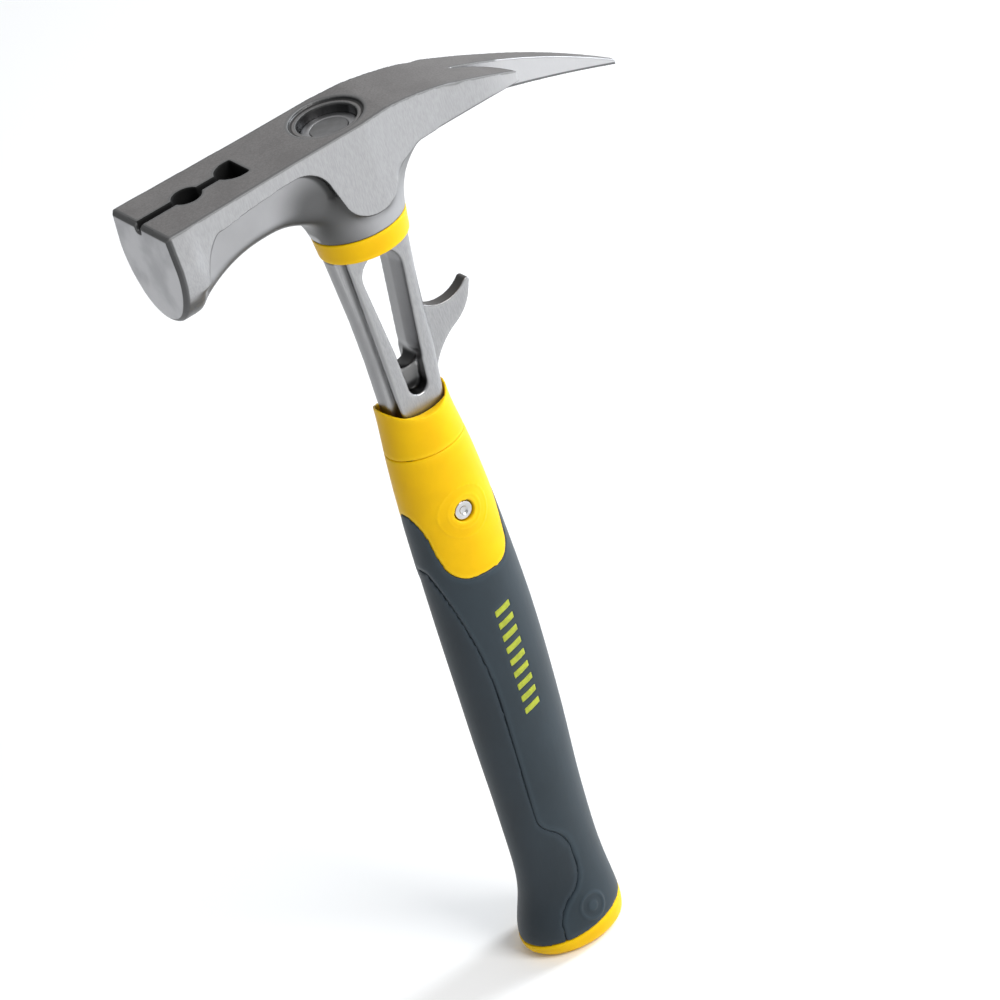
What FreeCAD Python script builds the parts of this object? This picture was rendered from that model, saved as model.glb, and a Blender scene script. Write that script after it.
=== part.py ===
import FreeCAD, Part
import math
import os

# Roofer's claw hammer with an elastically pivoted handle.
# Frame: +Z runs up the handle to the head, the striking face looks along -X,
# the spike points along +X, and the origin is the centre of the butt.
# All sizes are in millimetres.

V = FreeCAD.Vector

# ---- Overall ----
TOP_Z = 325.0            # flat top of the head above the butt
FACE_X = -72.7           # plane of the striking face
TIP_X = 106.5            # end of the long spike

# ---- Head ----
HEAD_HALF_WIDTH = 15.6   # flat cheeks, along Y
FACE_TOP_HALF_WIDTH = 16.7   # face block at the top, wider than the cheeks
FACE_HALF_WIDTH = 18.0       # face block at its widest
FACE_HEIGHT = 35.2           # top of the head to the bottom of the face
FACE_OVAL_Z = 313.0          # below this the face is half an oval
FACE_BLOCK_BACK_X = -64.0
TAPER_END_X = -22.0          # the cheeks widen from here towards the face
FACE_CHAMFER = 1.1
WEB_HALF_WIDTH = 12.4    # recessed beam between the cheeks and the underside
WEB_ROUNDING = 6.0
NECK_BOTTOM_Z = 287.0
NECK_FLARE = (           # z, front x, back x, half width along Y
    (287.0, -16.4, 16.4, 14.4),
    (291.0, -18.2, 17.5, 14.4),
    (295.0, -21.0, 19.3, 14.3),
    (299.0, -28.0, 22.5, 14.2),
    (304.0, -42.0, 28.5, 14.3),
)
NECK_FRONT_X = -12.0     # full-width part of the neck starts here
NECK_REAR_X = 15.5       # and ends here

# ---- Claw ----
PRONG_TIP = (63.3, -12.4)    # end of the short prong, x and y
SPIKE_WALL_Y = 1.0           # flat inner wall of the long spike
SLOT_ROOT_X = 46.0
SHOULDER_X = 24.0            # where the cheeks start to narrow
SHOULDER_HALF_WIDTH = 13.6
CLAW_LEAN = 0.05             # how far the claw's flanks lean in, per mm of height
FLANK_BOTTOM_Z = 307.8       # lower edge of the claw's flanks
KEEL_HALF_WIDTH = 3.0        # flat bottom of the bevelled underside
BEVEL_START_X = 21.0
BEVEL_FADE_X = (34.0, 66.0)  # where the bevel sinks away on the spike's side
BEVEL_TOP_Y = 12.3
KEEL_Z = 302.9
THROAT_HALF_WIDTH = 10.0

# ---- Nail holder in the top of the head ----
NAIL_CENTRE_Y = 0.8
NAIL_SLOT_HALF = 1.4
NAIL_SLOT_DEPTH = 3.0
NAIL_SLOT_END_X = -38.0
POCKET_DEPTH = 6.0
SMALL_POCKET = (-53.5, 4.8, 4.8)     # centre x, half length, half width
BIG_POCKET_X = (-41.5, -33.4)        # narrow end and wide flat end
BIG_POCKET_HALF = 6.0
MAGNET_X = -64.5
MAGNET_RADIUS = 3.0
MAGNET_HEIGHT = 6.0

# ---- Eye, tenon and expander plug ----
EYE_RADIUS = 9.0
EYE_MOUTH_RADIUS = 10.2
EYE_FLARE_Z = 317.0
EYE_RIM_RADIUS = 12.3
EYE_RIM_DEPTH = 1.0
TENON_TOP_Z = 321.0
PLUG_TOP_RADIUS = 6.2
PLUG_BOTTOM_RADIUS = 5.2
PLUG_DEPTH = 16.0

# ---- Shaft ----
SHAFT_HALF_THICKNESS = 7.3
SHAFT_CORNER = 3.6
SHAFT_TOP_Z = 279.0          # shoulder under the collar
SHAFT_MOUTH_Z = 222.0        # where the blade enters the sleeve
SHAFT_FRONT_TOP_X = -15.4
SHAFT_FRONT_LOW_X = -11.1
SHAFT_BACK_TOP_X = 13.7
SHAFT_BACK_LOW_X = 8.4
WINDOW_RIB_HALF = 4.3        # rib across the window's lower end, mid thickness
WINDOW_FLOOR_TILT = -8.0     # degrees, slope of the recess under the window
SHAFT_LOW_Z = 203.0          # below this the blade of the shaft is a thin tang
CHANNEL_RADIUS = 1.9         # channel on each side of the rail along the front
CHANNEL_Y = 5.2
CHANNEL_TOP = (-13.9, 290.0)     # x and z of the channel's axis
CHANNEL_LOW = (-10.3, 202.0)
NOSE_CENTRE_X = 0.0          # the front of the blade is the end of an oval about here
NOSE_HALF_WIDTH = 11.0
NOSE_FRONT = (               # z, front x of that oval
    (290.0, -16.2),
    (SHAFT_TOP_Z, -15.3),
    (254.0, -13.0),
    (238.0, -12.2),
    (SHAFT_MOUTH_Z, -12.0),
    (214.0, -11.1),
    (SHAFT_LOW_Z - 1.0, -11.1),
)
HOOK_HALF_THICKNESS = 2.4

# ---- Collar under the head ----
COLLAR_TOP = (16.4, 14.5)    # half length and half width under the head
COLLAR_BOTTOM = (15.5, 13.9)
COLLAR_INNER = (13.4, 11.4)

# ---- Tang and elastic pivot ----
PIVOT_X = -1.0
PIVOT_Z = 179.0
TANG_HALF_THICKNESS = 4.5
TANG_END_Z = 119.0
TANG_HALF_WIDTH = 6.0
BOSS_RADIUS = 10.0
BUSH_RADIUS = 7.0
BUSH_SLEEVE_RADIUS = 4.6
PIN_RADIUS = 3.3
PIN_RUNNING_GAP = 0.05
PIN_HALF_LENGTH = 12.2
PIN_HOLE_RADIUS = 3.75       # counterbore around each visible end of the pin
PIN_SEAT_Y = 10.2
WASHER_RADIUS = 8.0
WASHER_THICKNESS = 1.4
SWING_GAP = 1.3              # room for the tang to rock inside the handle
TAIL_POCKET_WALL = 1.2       # thinnest wall between the tail damper and the grip

# ---- Handle envelope: z, front x, back x, half width ----
HANDLE_SECTIONS = (
    (2.0, -21.2, 16.4, 15.0),
    (7.0, -21.9, 17.2, 15.7),
    (14.0, -20.2, 16.9, 14.9),
    (22.0, -17.8, 16.2, 13.5),
    (33.0, -16.5, 15.6, 12.5),
    (45.0, -16.4, 15.6, 12.3),
    (60.0, -16.4, 15.9, 12.6),
    (80.0, -16.7, 17.0, 13.0),
    (105.0, -16.8, 17.9, 13.4),
    (130.0, -16.9, 18.1, 13.6),
    (155.0, -16.8, 17.1, 13.5),
    (180.0, -16.4, 15.6, 13.1),
    (203.0, -15.2, 13.2, 12.2),
    (225.0, -14.1, 11.7, 11.2),
)
BUTT_BEVEL = 2.0
CAP_TOP_Z = 7.6              # rim between cap and grip, on the handle's axis
CAP_TILT = 0.12              # rise of that rim towards the back, per mm
CAP_SPIGOT_TOP_Z = 16.0
CORE_INSET = 4.0
HOLLOW_INSET = 7.6
HOLLOW_TOP_Z = 110.0
SLEEVE_SPLIT_Z = 203.0
MOUTH_SCOOP_Z = 216.8        # lowest point of the sleeve's upper edge
MOUTH_SCOOP_RADIUS = 20.0
MOUTH_WALL = 0.9             # thinnest wall of the sleeve at its mouth
GRIP_TOP_Z = 190.0
SEAL_Z = (208.0, 212.0)

# ---- Front panel and inlaid marks of the grip ----
PANEL_RECESS = 0.3
PANEL_THICKNESS = 1.2
MARK_DEPTH = 0.5
MARK_COUNT = 9
MARK_LOW_Z = 96.5
MARK_PITCH = 5.0
MARK_HEIGHT = 2.4
MARK_FRONT_X = -2.0
MARK_BACK_X = 4.4
MARK_SLANT = 1.6
RING_RADII = ((8.9, 9.6), (5.6, 6.2))
RING_DEPTH = 0.35

BIG = 60.0


# ---- Outline helpers ----
# An outline is a start point and a list of steps. A step with one point is a
# straight run to it; a step with two is an arc through the first to the second.

def outline_face(place, start, steps):
    edges = []
    here = place(*start)
    for step in steps:
        there = place(*step[-1])
        if len(step) == 1:
            edges.append(Part.makeLine(here, there))
        else:
            edges.append(Part.Arc(here, place(*step[0]), there).toShape())
        here = there
    first = place(*start)
    if here.distanceToPoint(first) > 1e-6:
        edges.append(Part.makeLine(here, first))
    return Part.Face(Part.Wire(edges))


def side_slab(y_low, y_high, start, *steps):
    """Outline in X and Z, as thick as y_low to y_high."""
    face = outline_face(lambda x, z: V(x, y_low, z), start, steps)
    return face.extrude(V(0, y_high - y_low, 0))


def plan_slab(z_low, z_high, start, *steps):
    """Outline in X and Y, as high as z_low to z_high."""
    face = outline_face(lambda x, y: V(x, y, z_low), start, steps)
    return face.extrude(V(0, 0, z_high - z_low))


def end_slab(x_low, x_high, start, *steps):
    """Outline in Y and Z, as long as x_low to x_high."""
    face = outline_face(lambda y, z: V(x_low, y, z), start, steps)
    return face.extrude(V(x_high - x_low, 0, 0))


def block(x_low, x_high, y_low, y_high, z_low, z_high):
    return Part.makeBox(x_high - x_low, y_high - y_low, z_high - z_low, V(x_low, y_low, z_low))


def cross_cylinder(radius, x, z, y_low, y_high):
    """Round bar along Y."""
    return Part.makeCylinder(radius, y_high - y_low, V(x, y_low, z), V(0, 1, 0))


def upright(radius, x, y, z_low, z_high):
    return Part.makeCylinder(radius, z_high - z_low, V(x, y, z_low))


def ellipse_wire(x, z, half_x, half_y):
    centre = V(x, 0, z)
    curve = Part.Ellipse(V(x + half_x, 0, z), V(x, half_y, z), centre)
    return Part.Wire([curve.toShape()])


def save(shape, node):
    solids = shape.removeSplitter().Solids
    result = solids[0] if len(solids) == 1 else Part.makeCompound(solids)
    result.exportStep("parts/" + node + ".step")
    print(node, len(solids), "solid(s)", round(result.Volume, 1), "mm3", result.isValid())


# ---- Handle envelope ----

def handle_envelope(inset):
    """The handle's outer shape, drawn in by inset all round."""
    rings = []
    for z, front, back, half in HANDLE_SECTIONS:
        half_x = (back - front) / 2 - inset
        rings.append(ellipse_wire((front + back) / 2, z, half_x, half - inset))
    return Part.makeLoft(rings, True)


def skin(inset, depth):
    return handle_envelope(inset).cut(handle_envelope(inset + depth))


def tongue_region():
    """Side view of the yellow sleeve where the grip leaves it bare."""
    return side_slab(
        -BIG, BIG,
        (-30.0, 240.0),
        ((-30.0, 190.0),),
        ((-18.5, 187.5),),
        ((-15.1, 178.5), (-13.4, 167.0)),
        ((-12.4, 162.0),),
        ((-10.2, 157.2), (-5.5, 154.6)),
        ((3.2, 154.2),),
        ((9.6, 156.1), (12.1, 161.5)),
        ((13.7, 172.0),),
        ((15.6, 180.5), (19.0, 187.5)),
        ((30.0, 190.0),),
        ((30.0, 240.0),),
    )


def panel_region():
    """Side view of the recessed front panel of the grip."""
    return side_slab(
        -BIG, BIG,
        (-30.0, 160.5),
        ((-16.3, 160.2),),
        ((-14.8, 153.0), (-11.9, 137.6)),
        ((-9.3, 119.0), (-8.5, 100.0)),
        ((-8.9, 56.0),),
        ((-7.9, 51.5), (-5.2, 48.4)),
        ((-1.3, 43.2), (-0.4, 36.0)),
        ((-1.0, 27.5), (-4.4, 22.4)),
        ((-9.4, 18.0), (-12.2, 12.5)),
        ((-13.4, 0.0),),
        ((-30.0, 0.0),),
    )


def above_rim(z_high):
    """Everything over the tilted rim of the end cap, up to z_high."""
    return side_slab(
        -BIG, BIG,
        (-BIG, CAP_TOP_Z - CAP_TILT * BIG),
        ((-BIG, z_high),),
        ((BIG, z_high),),
        ((BIG, CAP_TOP_Z + CAP_TILT * BIG),),
    )


# ---- Head ----

def top_and_cheeks():
    """Full-width part of the head: top, cheeks, and the blank of the claw."""
    profile = side_slab(
        -BIG, BIG,
        (-66.0, TOP_Z),
        ((14.0, TOP_Z),),
        ((31.0, 322.3), (47.0, 317.5)),
        ((78.0, 304.8), (TIP_X, 288.6)),
        ((TIP_X, 286.8),),
        ((84.0, 294.4), (66.0, 299.6)),
        ((52.0, KEEL_Z),),
        ((BEVEL_START_X + 2.0, KEEL_Z),),
        ((BEVEL_START_X, 307.0),),
        ((16.6, 304.8), (11.6, 300.5)),
        ((0.6, 293.9), (-9.8, 301.0)),
        ((-12.8, 310.0),),
        ((-16.6, 316.6), (-25.0, 319.6)),
        ((-41.0, 318.8), (-54.5, 317.2)),
        ((-59.2, 311.0), (-62.0, 301.8)),
        ((-66.0, 301.8),),
    )
    return profile.common(claw_plan())


def claw_plan():
    """Plan view of the head, with the cheeks narrowing into the claw."""
    root_half = SHOULDER_HALF_WIDTH - 0.6
    return plan_slab(
        270.0, 340.0,
        (FACE_BLOCK_BACK_X - 2.0, -FACE_TOP_HALF_WIDTH),
        ((TAPER_END_X, -HEAD_HALF_WIDTH),),
        ((4.0, -HEAD_HALF_WIDTH),),
        ((SHOULDER_X, -SHOULDER_HALF_WIDTH - 0.2), (45.0, -root_half)),
        (PRONG_TIP,),
        ((56.7, -3.4), (SLOT_ROOT_X, 0.2)),
        ((SLOT_ROOT_X, SPIKE_WALL_Y),),
        ((TIP_X + 2.0, SPIKE_WALL_Y),),
        ((TIP_X + 2.0, 3.4),),
        ((84.0, 7.0), (64.0, 9.4)),
        ((45.0, root_half),),
        ((SHOULDER_X, SHOULDER_HALF_WIDTH + 0.2), (4.0, HEAD_HALF_WIDTH)),
        ((TAPER_END_X, HEAD_HALF_WIDTH),),
        ((FACE_BLOCK_BACK_X - 2.0, FACE_TOP_HALF_WIDTH),),
    )


def flank_cutter(sign):
    """Wedge that leans one flank of the claw inward towards its underside."""
    low_half = SHOULDER_HALF_WIDTH - CLAW_LEAN * 30.0
    return end_slab(
        SHOULDER_X + 6.0, TIP_X + 5.0,
        (sign * SHOULDER_HALF_WIDTH, 322.0),
        ((sign * low_half, 292.0),),
        ((sign * low_half, 270.0),),
        ((sign * BIG, 270.0),),
        ((sign * BIG, 322.0),),
    )


def prong_underside_cutter():
    """Wedge that bevels the short prong's underside down to a keel."""
    return end_slab(
        BEVEL_START_X, PRONG_TIP[0] + 0.5,
        (-BIG, FLANK_BOTTOM_Z),
        ((-BEVEL_TOP_Y, FLANK_BOTTOM_Z),),
        ((-KEEL_HALF_WIDTH, KEEL_Z),),
        ((-KEEL_HALF_WIDTH, 270.0),),
        ((-BIG, 270.0),),
    )


def spike_underside_cutter():
    """The same wedge on the spike's side, sinking away along the spike."""
    wires = []
    for x, drop in ((BEVEL_START_X, 0.0), (BEVEL_FADE_X[0], 0.0), (BEVEL_FADE_X[1], 8.0)):
        corners = [
            V(x, BIG, FLANK_BOTTOM_Z - drop),
            V(x, BEVEL_TOP_Y, FLANK_BOTTOM_Z - drop),
            V(x, KEEL_HALF_WIDTH, KEEL_Z - drop),
            V(x, KEEL_HALF_WIDTH, 270.0),
            V(x, BIG, 270.0),
        ]
        wires.append(Part.makePolygon(corners + corners[:1]))
    return Part.makeLoft(wires, True, True)


def oval_point(degrees):
    """Point (y, z) on the lower half oval of the face, measured from its +Y end."""
    turn = math.radians(degrees)
    oval_height = FACE_OVAL_Z - (TOP_Z - FACE_HEIGHT)
    return (FACE_HALF_WIDTH * math.cos(turn), FACE_OVAL_Z - oval_height * math.sin(turn))


def face_block():
    """Striking block: flat top, sides that widen a little, and an oval lower half."""
    block_shape = end_slab(
        FACE_X, FACE_BLOCK_BACK_X,
        (FACE_TOP_HALF_WIDTH, TOP_Z),
        (oval_point(0),),
        (oval_point(22), oval_point(42)),
        (oval_point(90), oval_point(138)),
        (oval_point(158), oval_point(180)),
        ((-FACE_TOP_HALF_WIDTH, TOP_Z),),
    )
    rim = [e for e in block_shape.Edges if abs(e.BoundBox.XMax - FACE_X) < 0.01]
    return block_shape.makeChamfer(FACE_CHAMFER, rim)


def web():
    """Recessed beam that carries the face block, with a rounded underside."""
    beam = side_slab(
        -WEB_HALF_WIDTH, WEB_HALF_WIDTH,
        (-66.0, 322.0),
        ((-66.0, 293.0),),
        ((-63.0, 294.0),),
        ((-49.0, 301.2), (-33.0, 302.6)),
        ((-10.0, 300.0),),
        ((-10.0, 322.0),),
    )
    lower = [e for e in beam.Edges
             if abs(abs(e.BoundBox.YMin) - WEB_HALF_WIDTH) < 0.01
             and e.BoundBox.YLength < 0.01
             and e.BoundBox.ZMax < 303.5 and e.BoundBox.XLength > 8.0]
    return beam.makeFillet(WEB_ROUNDING, lower)


def neck():
    """Waisted socket under the head, flaring up into the web and cheeks."""
    profile = side_slab(
        -15.0, 15.0,
        (-16.4, NECK_BOTTOM_Z),
        ((-20.0, 296.5), (-33.5, 302.6)),
        ((-33.5, 321.0),),
        ((30.0, 321.0),),
        ((30.0, KEEL_Z),),
        ((20.4, 296.6), (16.3, NECK_BOTTOM_Z)),
    )
    rings = [ellipse_wire((front + back) / 2.0, z, (back - front) / 2.0, half_y)
             for z, front, back, half_y in NECK_FLARE]
    flare = Part.makeLoft(rings, True)
    above = block(NECK_FRONT_X, NECK_REAR_X, -14.3, 14.3, 303.9, 330.0)
    keel = block(NECK_REAR_X - 1.0, BIG, -KEEL_HALF_WIDTH, KEEL_HALF_WIDTH, 290.0, 330.0)
    beside_web = block(-BIG, NECK_FRONT_X, WEB_HALF_WIDTH, BIG, 270.0, 330.0)
    flare = flare.cut([beside_web, beside_web.mirror(V(0, 0, 0), V(0, 1, 0))])
    return profile.common(flare.fuse([above, keel]))


def throat():
    """Fillet between the back of the neck and the claw's underside."""
    return side_slab(
        -THROAT_HALF_WIDTH, THROAT_HALF_WIDTH,
        (10.0, 299.0),
        ((15.0, 299.0),),
        ((22.4, 304.2), (33.0, 306.9)),
        ((33.0, 312.0),),
        ((10.0, 312.0),),
    )


def nail_holder():
    """Slot and two pockets sunk into the top of the head."""
    slot_floor = TOP_Z - NAIL_SLOT_DEPTH
    pocket_floor = TOP_Z - POCKET_DEPTH
    y = NAIL_CENTRE_Y
    slot = block(FACE_X - 1.0, NAIL_SLOT_END_X, y - NAIL_SLOT_HALF, y + NAIL_SLOT_HALF,
                 slot_floor, TOP_Z + 1.0)
    x, half_x, half_y = SMALL_POCKET
    small = plan_slab(
        pocket_floor, TOP_Z + 1.0,
        (x - half_x, y),
        ((x, y - half_y), (x + half_x, y)),
        ((x, y + half_y), (x - half_x, y)),
    )
    narrow, wide = BIG_POCKET_X
    big = plan_slab(
        pocket_floor, TOP_Z + 1.0,
        (narrow, y + NAIL_SLOT_HALF),
        ((narrow + 2.0, y + 4.4), (narrow + 5.5, y + BIG_POCKET_HALF)),
        ((wide, y + BIG_POCKET_HALF),),
        ((wide, y - BIG_POCKET_HALF),),
        ((narrow + 5.5, y - BIG_POCKET_HALF),),
        ((narrow + 2.0, y - 4.4), (narrow, y - NAIL_SLOT_HALF)),
    )
    magnet_seat = upright(MAGNET_RADIUS, MAGNET_X, y, slot_floor - MAGNET_HEIGHT, slot_floor)
    return slot.fuse([small, big, magnet_seat])


def eye():
    """Bore for the shaft's tenon, with its flared mouth and outer rim."""
    bore = upright(EYE_RADIUS, 0, 0, NECK_BOTTOM_Z - 1.0, EYE_FLARE_Z)
    flare = Part.makeCone(EYE_RADIUS, EYE_MOUTH_RADIUS, TOP_Z - EYE_FLARE_Z, V(0, 0, EYE_FLARE_Z))
    rim = upright(EYE_RIM_RADIUS, 0, 0, TOP_Z - EYE_RIM_DEPTH, TOP_Z + 1.0)
    return bore.fuse([flare, rim])


def make_head():
    cheeks = top_and_cheeks()
    cheeks = cheeks.cut(flank_cutter(1.0))
    cheeks = cheeks.cut(flank_cutter(-1.0))
    cheeks = cheeks.cut(spike_underside_cutter())
    cheeks = cheeks.cut(prong_underside_cutter())
    head = cheeks.fuse([face_block(), web(), neck(), throat()])
    head = head.removeSplitter()
    head = head.cut(nail_holder())
    return head.cut(eye())


def make_magnet():
    floor = TOP_Z - NAIL_SLOT_DEPTH
    return upright(MAGNET_RADIUS, MAGNET_X, NAIL_CENTRE_Y, floor - MAGNET_HEIGHT, floor)


def plug_cone():
    bottom = TENON_TOP_Z - PLUG_DEPTH
    return Part.makeCone(PLUG_BOTTOM_RADIUS, PLUG_TOP_RADIUS, PLUG_DEPTH, V(0, 0, bottom))


# ---- Shaft ----

def shaft_blade():
    """Forged blade between the collar and the sleeve, with rounded edges."""
    blade = side_slab(
        -SHAFT_HALF_THICKNESS, SHAFT_HALF_THICKNESS,
        (SHAFT_FRONT_TOP_X, SHAFT_TOP_Z),
        ((-13.1, 254.0), (-12.3, 238.0)),
        ((-12.1, SHAFT_MOUTH_Z),),
        ((SHAFT_FRONT_LOW_X, 214.0),),
        ((SHAFT_FRONT_LOW_X, SHAFT_LOW_Z),),
        ((SHAFT_BACK_LOW_X, SHAFT_LOW_Z),),
        ((SHAFT_BACK_LOW_X, 216.0),),
        ((10.6, 238.0),),
        ((11.4, 256.0), (SHAFT_BACK_TOP_X, SHAFT_TOP_Z)),
    )
    long_edges = [e for e in blade.Edges
                  if e.BoundBox.YLength < 0.01 and e.BoundBox.ZLength > 7.0]
    return blade.makeFillet(SHAFT_CORNER, long_edges)


def shaft_window():
    """Tapered through hole with rounded ends."""
    return side_slab(
        -BIG, BIG,
        (-8.1, 268.0),
        ((-6.9, 273.6), (-1.5, 276.6)),
        ((1.0, 276.6),),
        ((5.6, 273.4), (6.9, 267.5)),
        ((4.0, 237.0),),
        ((0.0, 232.3), (-4.5, 237.0)),
    )


def window_pocket(sign):
    """Recess that runs the window's outline further down one flank."""
    outer = side_slab(
        0.0, BIG,
        (-4.9, 240.0),
        ((3.9, 240.0),),
        ((3.0, 227.5),),
        ((-0.8, 223.4), (-4.1, 227.5)),
    )
    tilt_axis = V(1, 0, 0)
    outer.translate(V(0, WINDOW_RIB_HALF, 0))
    outer.rotate(V(0, WINDOW_RIB_HALF, 236.0), tilt_axis, WINDOW_FLOOR_TILT)
    outer = outer.common(block(-BIG, BIG, 0.0, BIG, 200.0, 241.0))
    if sign < 0:
        return outer.mirror(V(0, 0, 0), V(0, 1, 0))
    return outer


def front_channel(sign):
    """Straight round-bottomed channel that leaves a narrow rail along the front."""
    start = V(CHANNEL_TOP[0], sign * CHANNEL_Y, CHANNEL_TOP[1])
    end = V(CHANNEL_LOW[0], sign * CHANNEL_Y, CHANNEL_LOW[1])
    return Part.makeCylinder(CHANNEL_RADIUS, start.distanceToPoint(end), start, end - start)


def rounded_nose():
    """Everything behind the blade's rounded front, as one solid."""
    rings = [ellipse_wire(NOSE_CENTRE_X, z, NOSE_CENTRE_X - front, NOSE_HALF_WIDTH)
             for z, front in NOSE_FRONT]
    behind = block(NOSE_CENTRE_X, BIG, -BIG, BIG, NOSE_FRONT[-1][0], NOSE_FRONT[0][0])
    return Part.makeLoft(rings, True, True).fuse(behind)


def side_hook():
    """Nail-pulling fin on the back of the blade."""
    return side_slab(
        -HOOK_HALF_THICKNESS, HOOK_HALF_THICKNESS,
        (6.0, 250.0),
        ((10.6, 250.0),),
        ((18.6, 245.4), (29.0, 249.0)),
        ((30.4, 248.6), (30.2, 246.6)),
        ((27.2, 240.4), (20.6, 235.4)),
        ((12.8, 228.8), (9.4, 222.6)),
        ((6.0, 222.6),),
    )


def tang():
    """Thin lower end of the shaft, with the boss of the pivot."""
    half = TANG_HALF_THICKNESS
    upper = side_slab(
        -half, half,
        (-10.2, 206.0),
        ((-9.0, 192.0),),
        ((-8.0, PIVOT_Z),),
        ((6.0, PIVOT_Z),),
        ((7.6, 192.0),),
        ((8.2, 206.0),),
    )
    boss = cross_cylinder(BOSS_RADIUS, PIVOT_X, PIVOT_Z, -half, half)
    tail = block(PIVOT_X - TANG_HALF_WIDTH, PIVOT_X + TANG_HALF_WIDTH, -half, half,
                 TANG_END_Z, PIVOT_Z)
    eye_hole = cross_cylinder(BUSH_RADIUS, PIVOT_X, PIVOT_Z, -half, half)
    return upper.fuse([boss, tail]).cut(eye_hole)


def tenon():
    """Round spigot through the head, spread at its top by the expander plug."""
    straight = upright(EYE_RADIUS, 0, 0, NECK_BOTTOM_Z - 2.0, EYE_FLARE_Z)
    spread = EYE_MOUTH_RADIUS - EYE_RADIUS
    top_radius = EYE_RADIUS + spread * (TENON_TOP_Z - EYE_FLARE_Z) / (TOP_Z - EYE_FLARE_Z)
    flare = Part.makeCone(EYE_RADIUS, top_radius, TENON_TOP_Z - EYE_FLARE_Z, V(0, 0, EYE_FLARE_Z))
    return straight.fuse(flare).cut(plug_cone())


def make_shaft():
    blade = shaft_blade().cut(shaft_window())
    blade = blade.cut([window_pocket(1.0), window_pocket(-1.0)])
    blade = blade.common(rounded_nose())
    blade = blade.cut([front_channel(1.0), front_channel(-1.0)])
    shoulder = Part.Face(ellipse_wire(0, SHAFT_TOP_Z, *COLLAR_INNER))
    shoulder = shoulder.extrude(V(0, 0, NECK_BOTTOM_Z - SHAFT_TOP_Z))
    return blade.fuse([shoulder, side_hook(), tang(), tenon()])


def make_collar(shaft):
    low, high = SHAFT_TOP_Z, NECK_BOTTOM_Z
    outside = Part.makeLoft([ellipse_wire(0, low, *COLLAR_BOTTOM),
                             ellipse_wire(0, high, *COLLAR_TOP)], True)
    inside = Part.makeLoft([ellipse_wire(0, low, *COLLAR_INNER),
                            ellipse_wire(0, high, *COLLAR_INNER)], True)
    return outside.cut([inside, shaft])


def make_bush():
    half = TANG_HALF_THICKNESS
    outside = cross_cylinder(BUSH_RADIUS, PIVOT_X, PIVOT_Z, -half, half)
    inside = cross_cylinder(BUSH_SLEEVE_RADIUS, PIVOT_X, PIVOT_Z, -half, half)
    return outside.cut(inside)


def make_bush_sleeve():
    half = TANG_HALF_THICKNESS
    outside = cross_cylinder(BUSH_SLEEVE_RADIUS, PIVOT_X, PIVOT_Z, -half, half)
    bore_radius = PIN_RADIUS + PIN_RUNNING_GAP
    return outside.cut(cross_cylinder(bore_radius, PIVOT_X, PIVOT_Z, -half, half))


# ---- Handle interior ----

def tang_cavity():
    """Room inside the handle for the tang, with a gap to let it rock."""
    half_y = TANG_HALF_THICKNESS + 0.5
    upper = side_slab(
        -half_y, half_y,
        (-10.2 - SWING_GAP, SLEEVE_SPLIT_Z),
        ((-9.0 - SWING_GAP, 190.0),),
        ((PIVOT_X - BOSS_RADIUS - 0.5, PIVOT_Z),),
        ((PIVOT_X + BOSS_RADIUS + 0.5, PIVOT_Z),),
        ((7.6 + SWING_GAP, 190.0),),
        ((8.2 + SWING_GAP, SLEEVE_SPLIT_Z),),
    )
    boss = cross_cylinder(BOSS_RADIUS + 0.5, PIVOT_X, PIVOT_Z, -half_y, half_y)
    half_x = TANG_HALF_WIDTH + SWING_GAP
    tail = block(PIVOT_X - half_x, PIVOT_X + half_x, -half_y, half_y,
                 TANG_END_Z - 2.0, PIVOT_Z)
    return upper.fuse([boss, tail])


def damper_pocket(sign):
    """Pocket in the handle for the pad in front of or behind the tang."""
    inner = PIVOT_X + sign * 6.0
    outer = PIVOT_X + sign * 11.4
    low, high = min(inner, outer), max(inner, outer)
    return block(low, high, -TANG_HALF_THICKNESS, TANG_HALF_THICKNESS, 191.0, 201.0)


def tail_pocket():
    half_x = TANG_HALF_WIDTH + 3.0
    half_y = TANG_HALF_THICKNESS + 1.6
    room = block(PIVOT_X - half_x, PIVOT_X + half_x, -half_y, half_y,
                 TANG_END_Z - 3.0, TANG_END_Z + 18.0)
    return room.common(handle_envelope(CORE_INSET + TAIL_POCKET_WALL))


def washer(y_low):
    ring = cross_cylinder(WASHER_RADIUS, PIVOT_X, PIVOT_Z, y_low, y_low + WASHER_THICKNESS)
    return ring.cut(cross_cylinder(PIN_RADIUS, PIVOT_X, PIVOT_Z, -BIG, BIG))


def washer_seats():
    seat_y = TANG_HALF_THICKNESS + 0.1 + WASHER_THICKNESS
    return cross_cylinder(WASHER_RADIUS, PIVOT_X, PIVOT_Z, -seat_y, seat_y)


def pin_holes():
    through = cross_cylinder(PIN_RADIUS, PIVOT_X, PIVOT_Z, -BIG, BIG)
    near = cross_cylinder(PIN_HOLE_RADIUS, PIVOT_X, PIVOT_Z, -BIG, -PIN_SEAT_Y)
    far = cross_cylinder(PIN_HOLE_RADIUS, PIVOT_X, PIVOT_Z, PIN_SEAT_Y, BIG)
    return through.fuse([near, far])


def moulded_rings():
    """Shallow concentric grooves around each end of the pin."""
    shell = skin(0.0, RING_DEPTH)
    rings = []
    for inner, outer in RING_RADII:
        ring = cross_cylinder(outer, PIVOT_X, PIVOT_Z, -BIG, BIG)
        rings.append(ring.cut(cross_cylinder(inner, PIVOT_X, PIVOT_Z, -BIG, BIG)))
    return shell.common(rings[0].fuse(rings[1:]))


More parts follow.
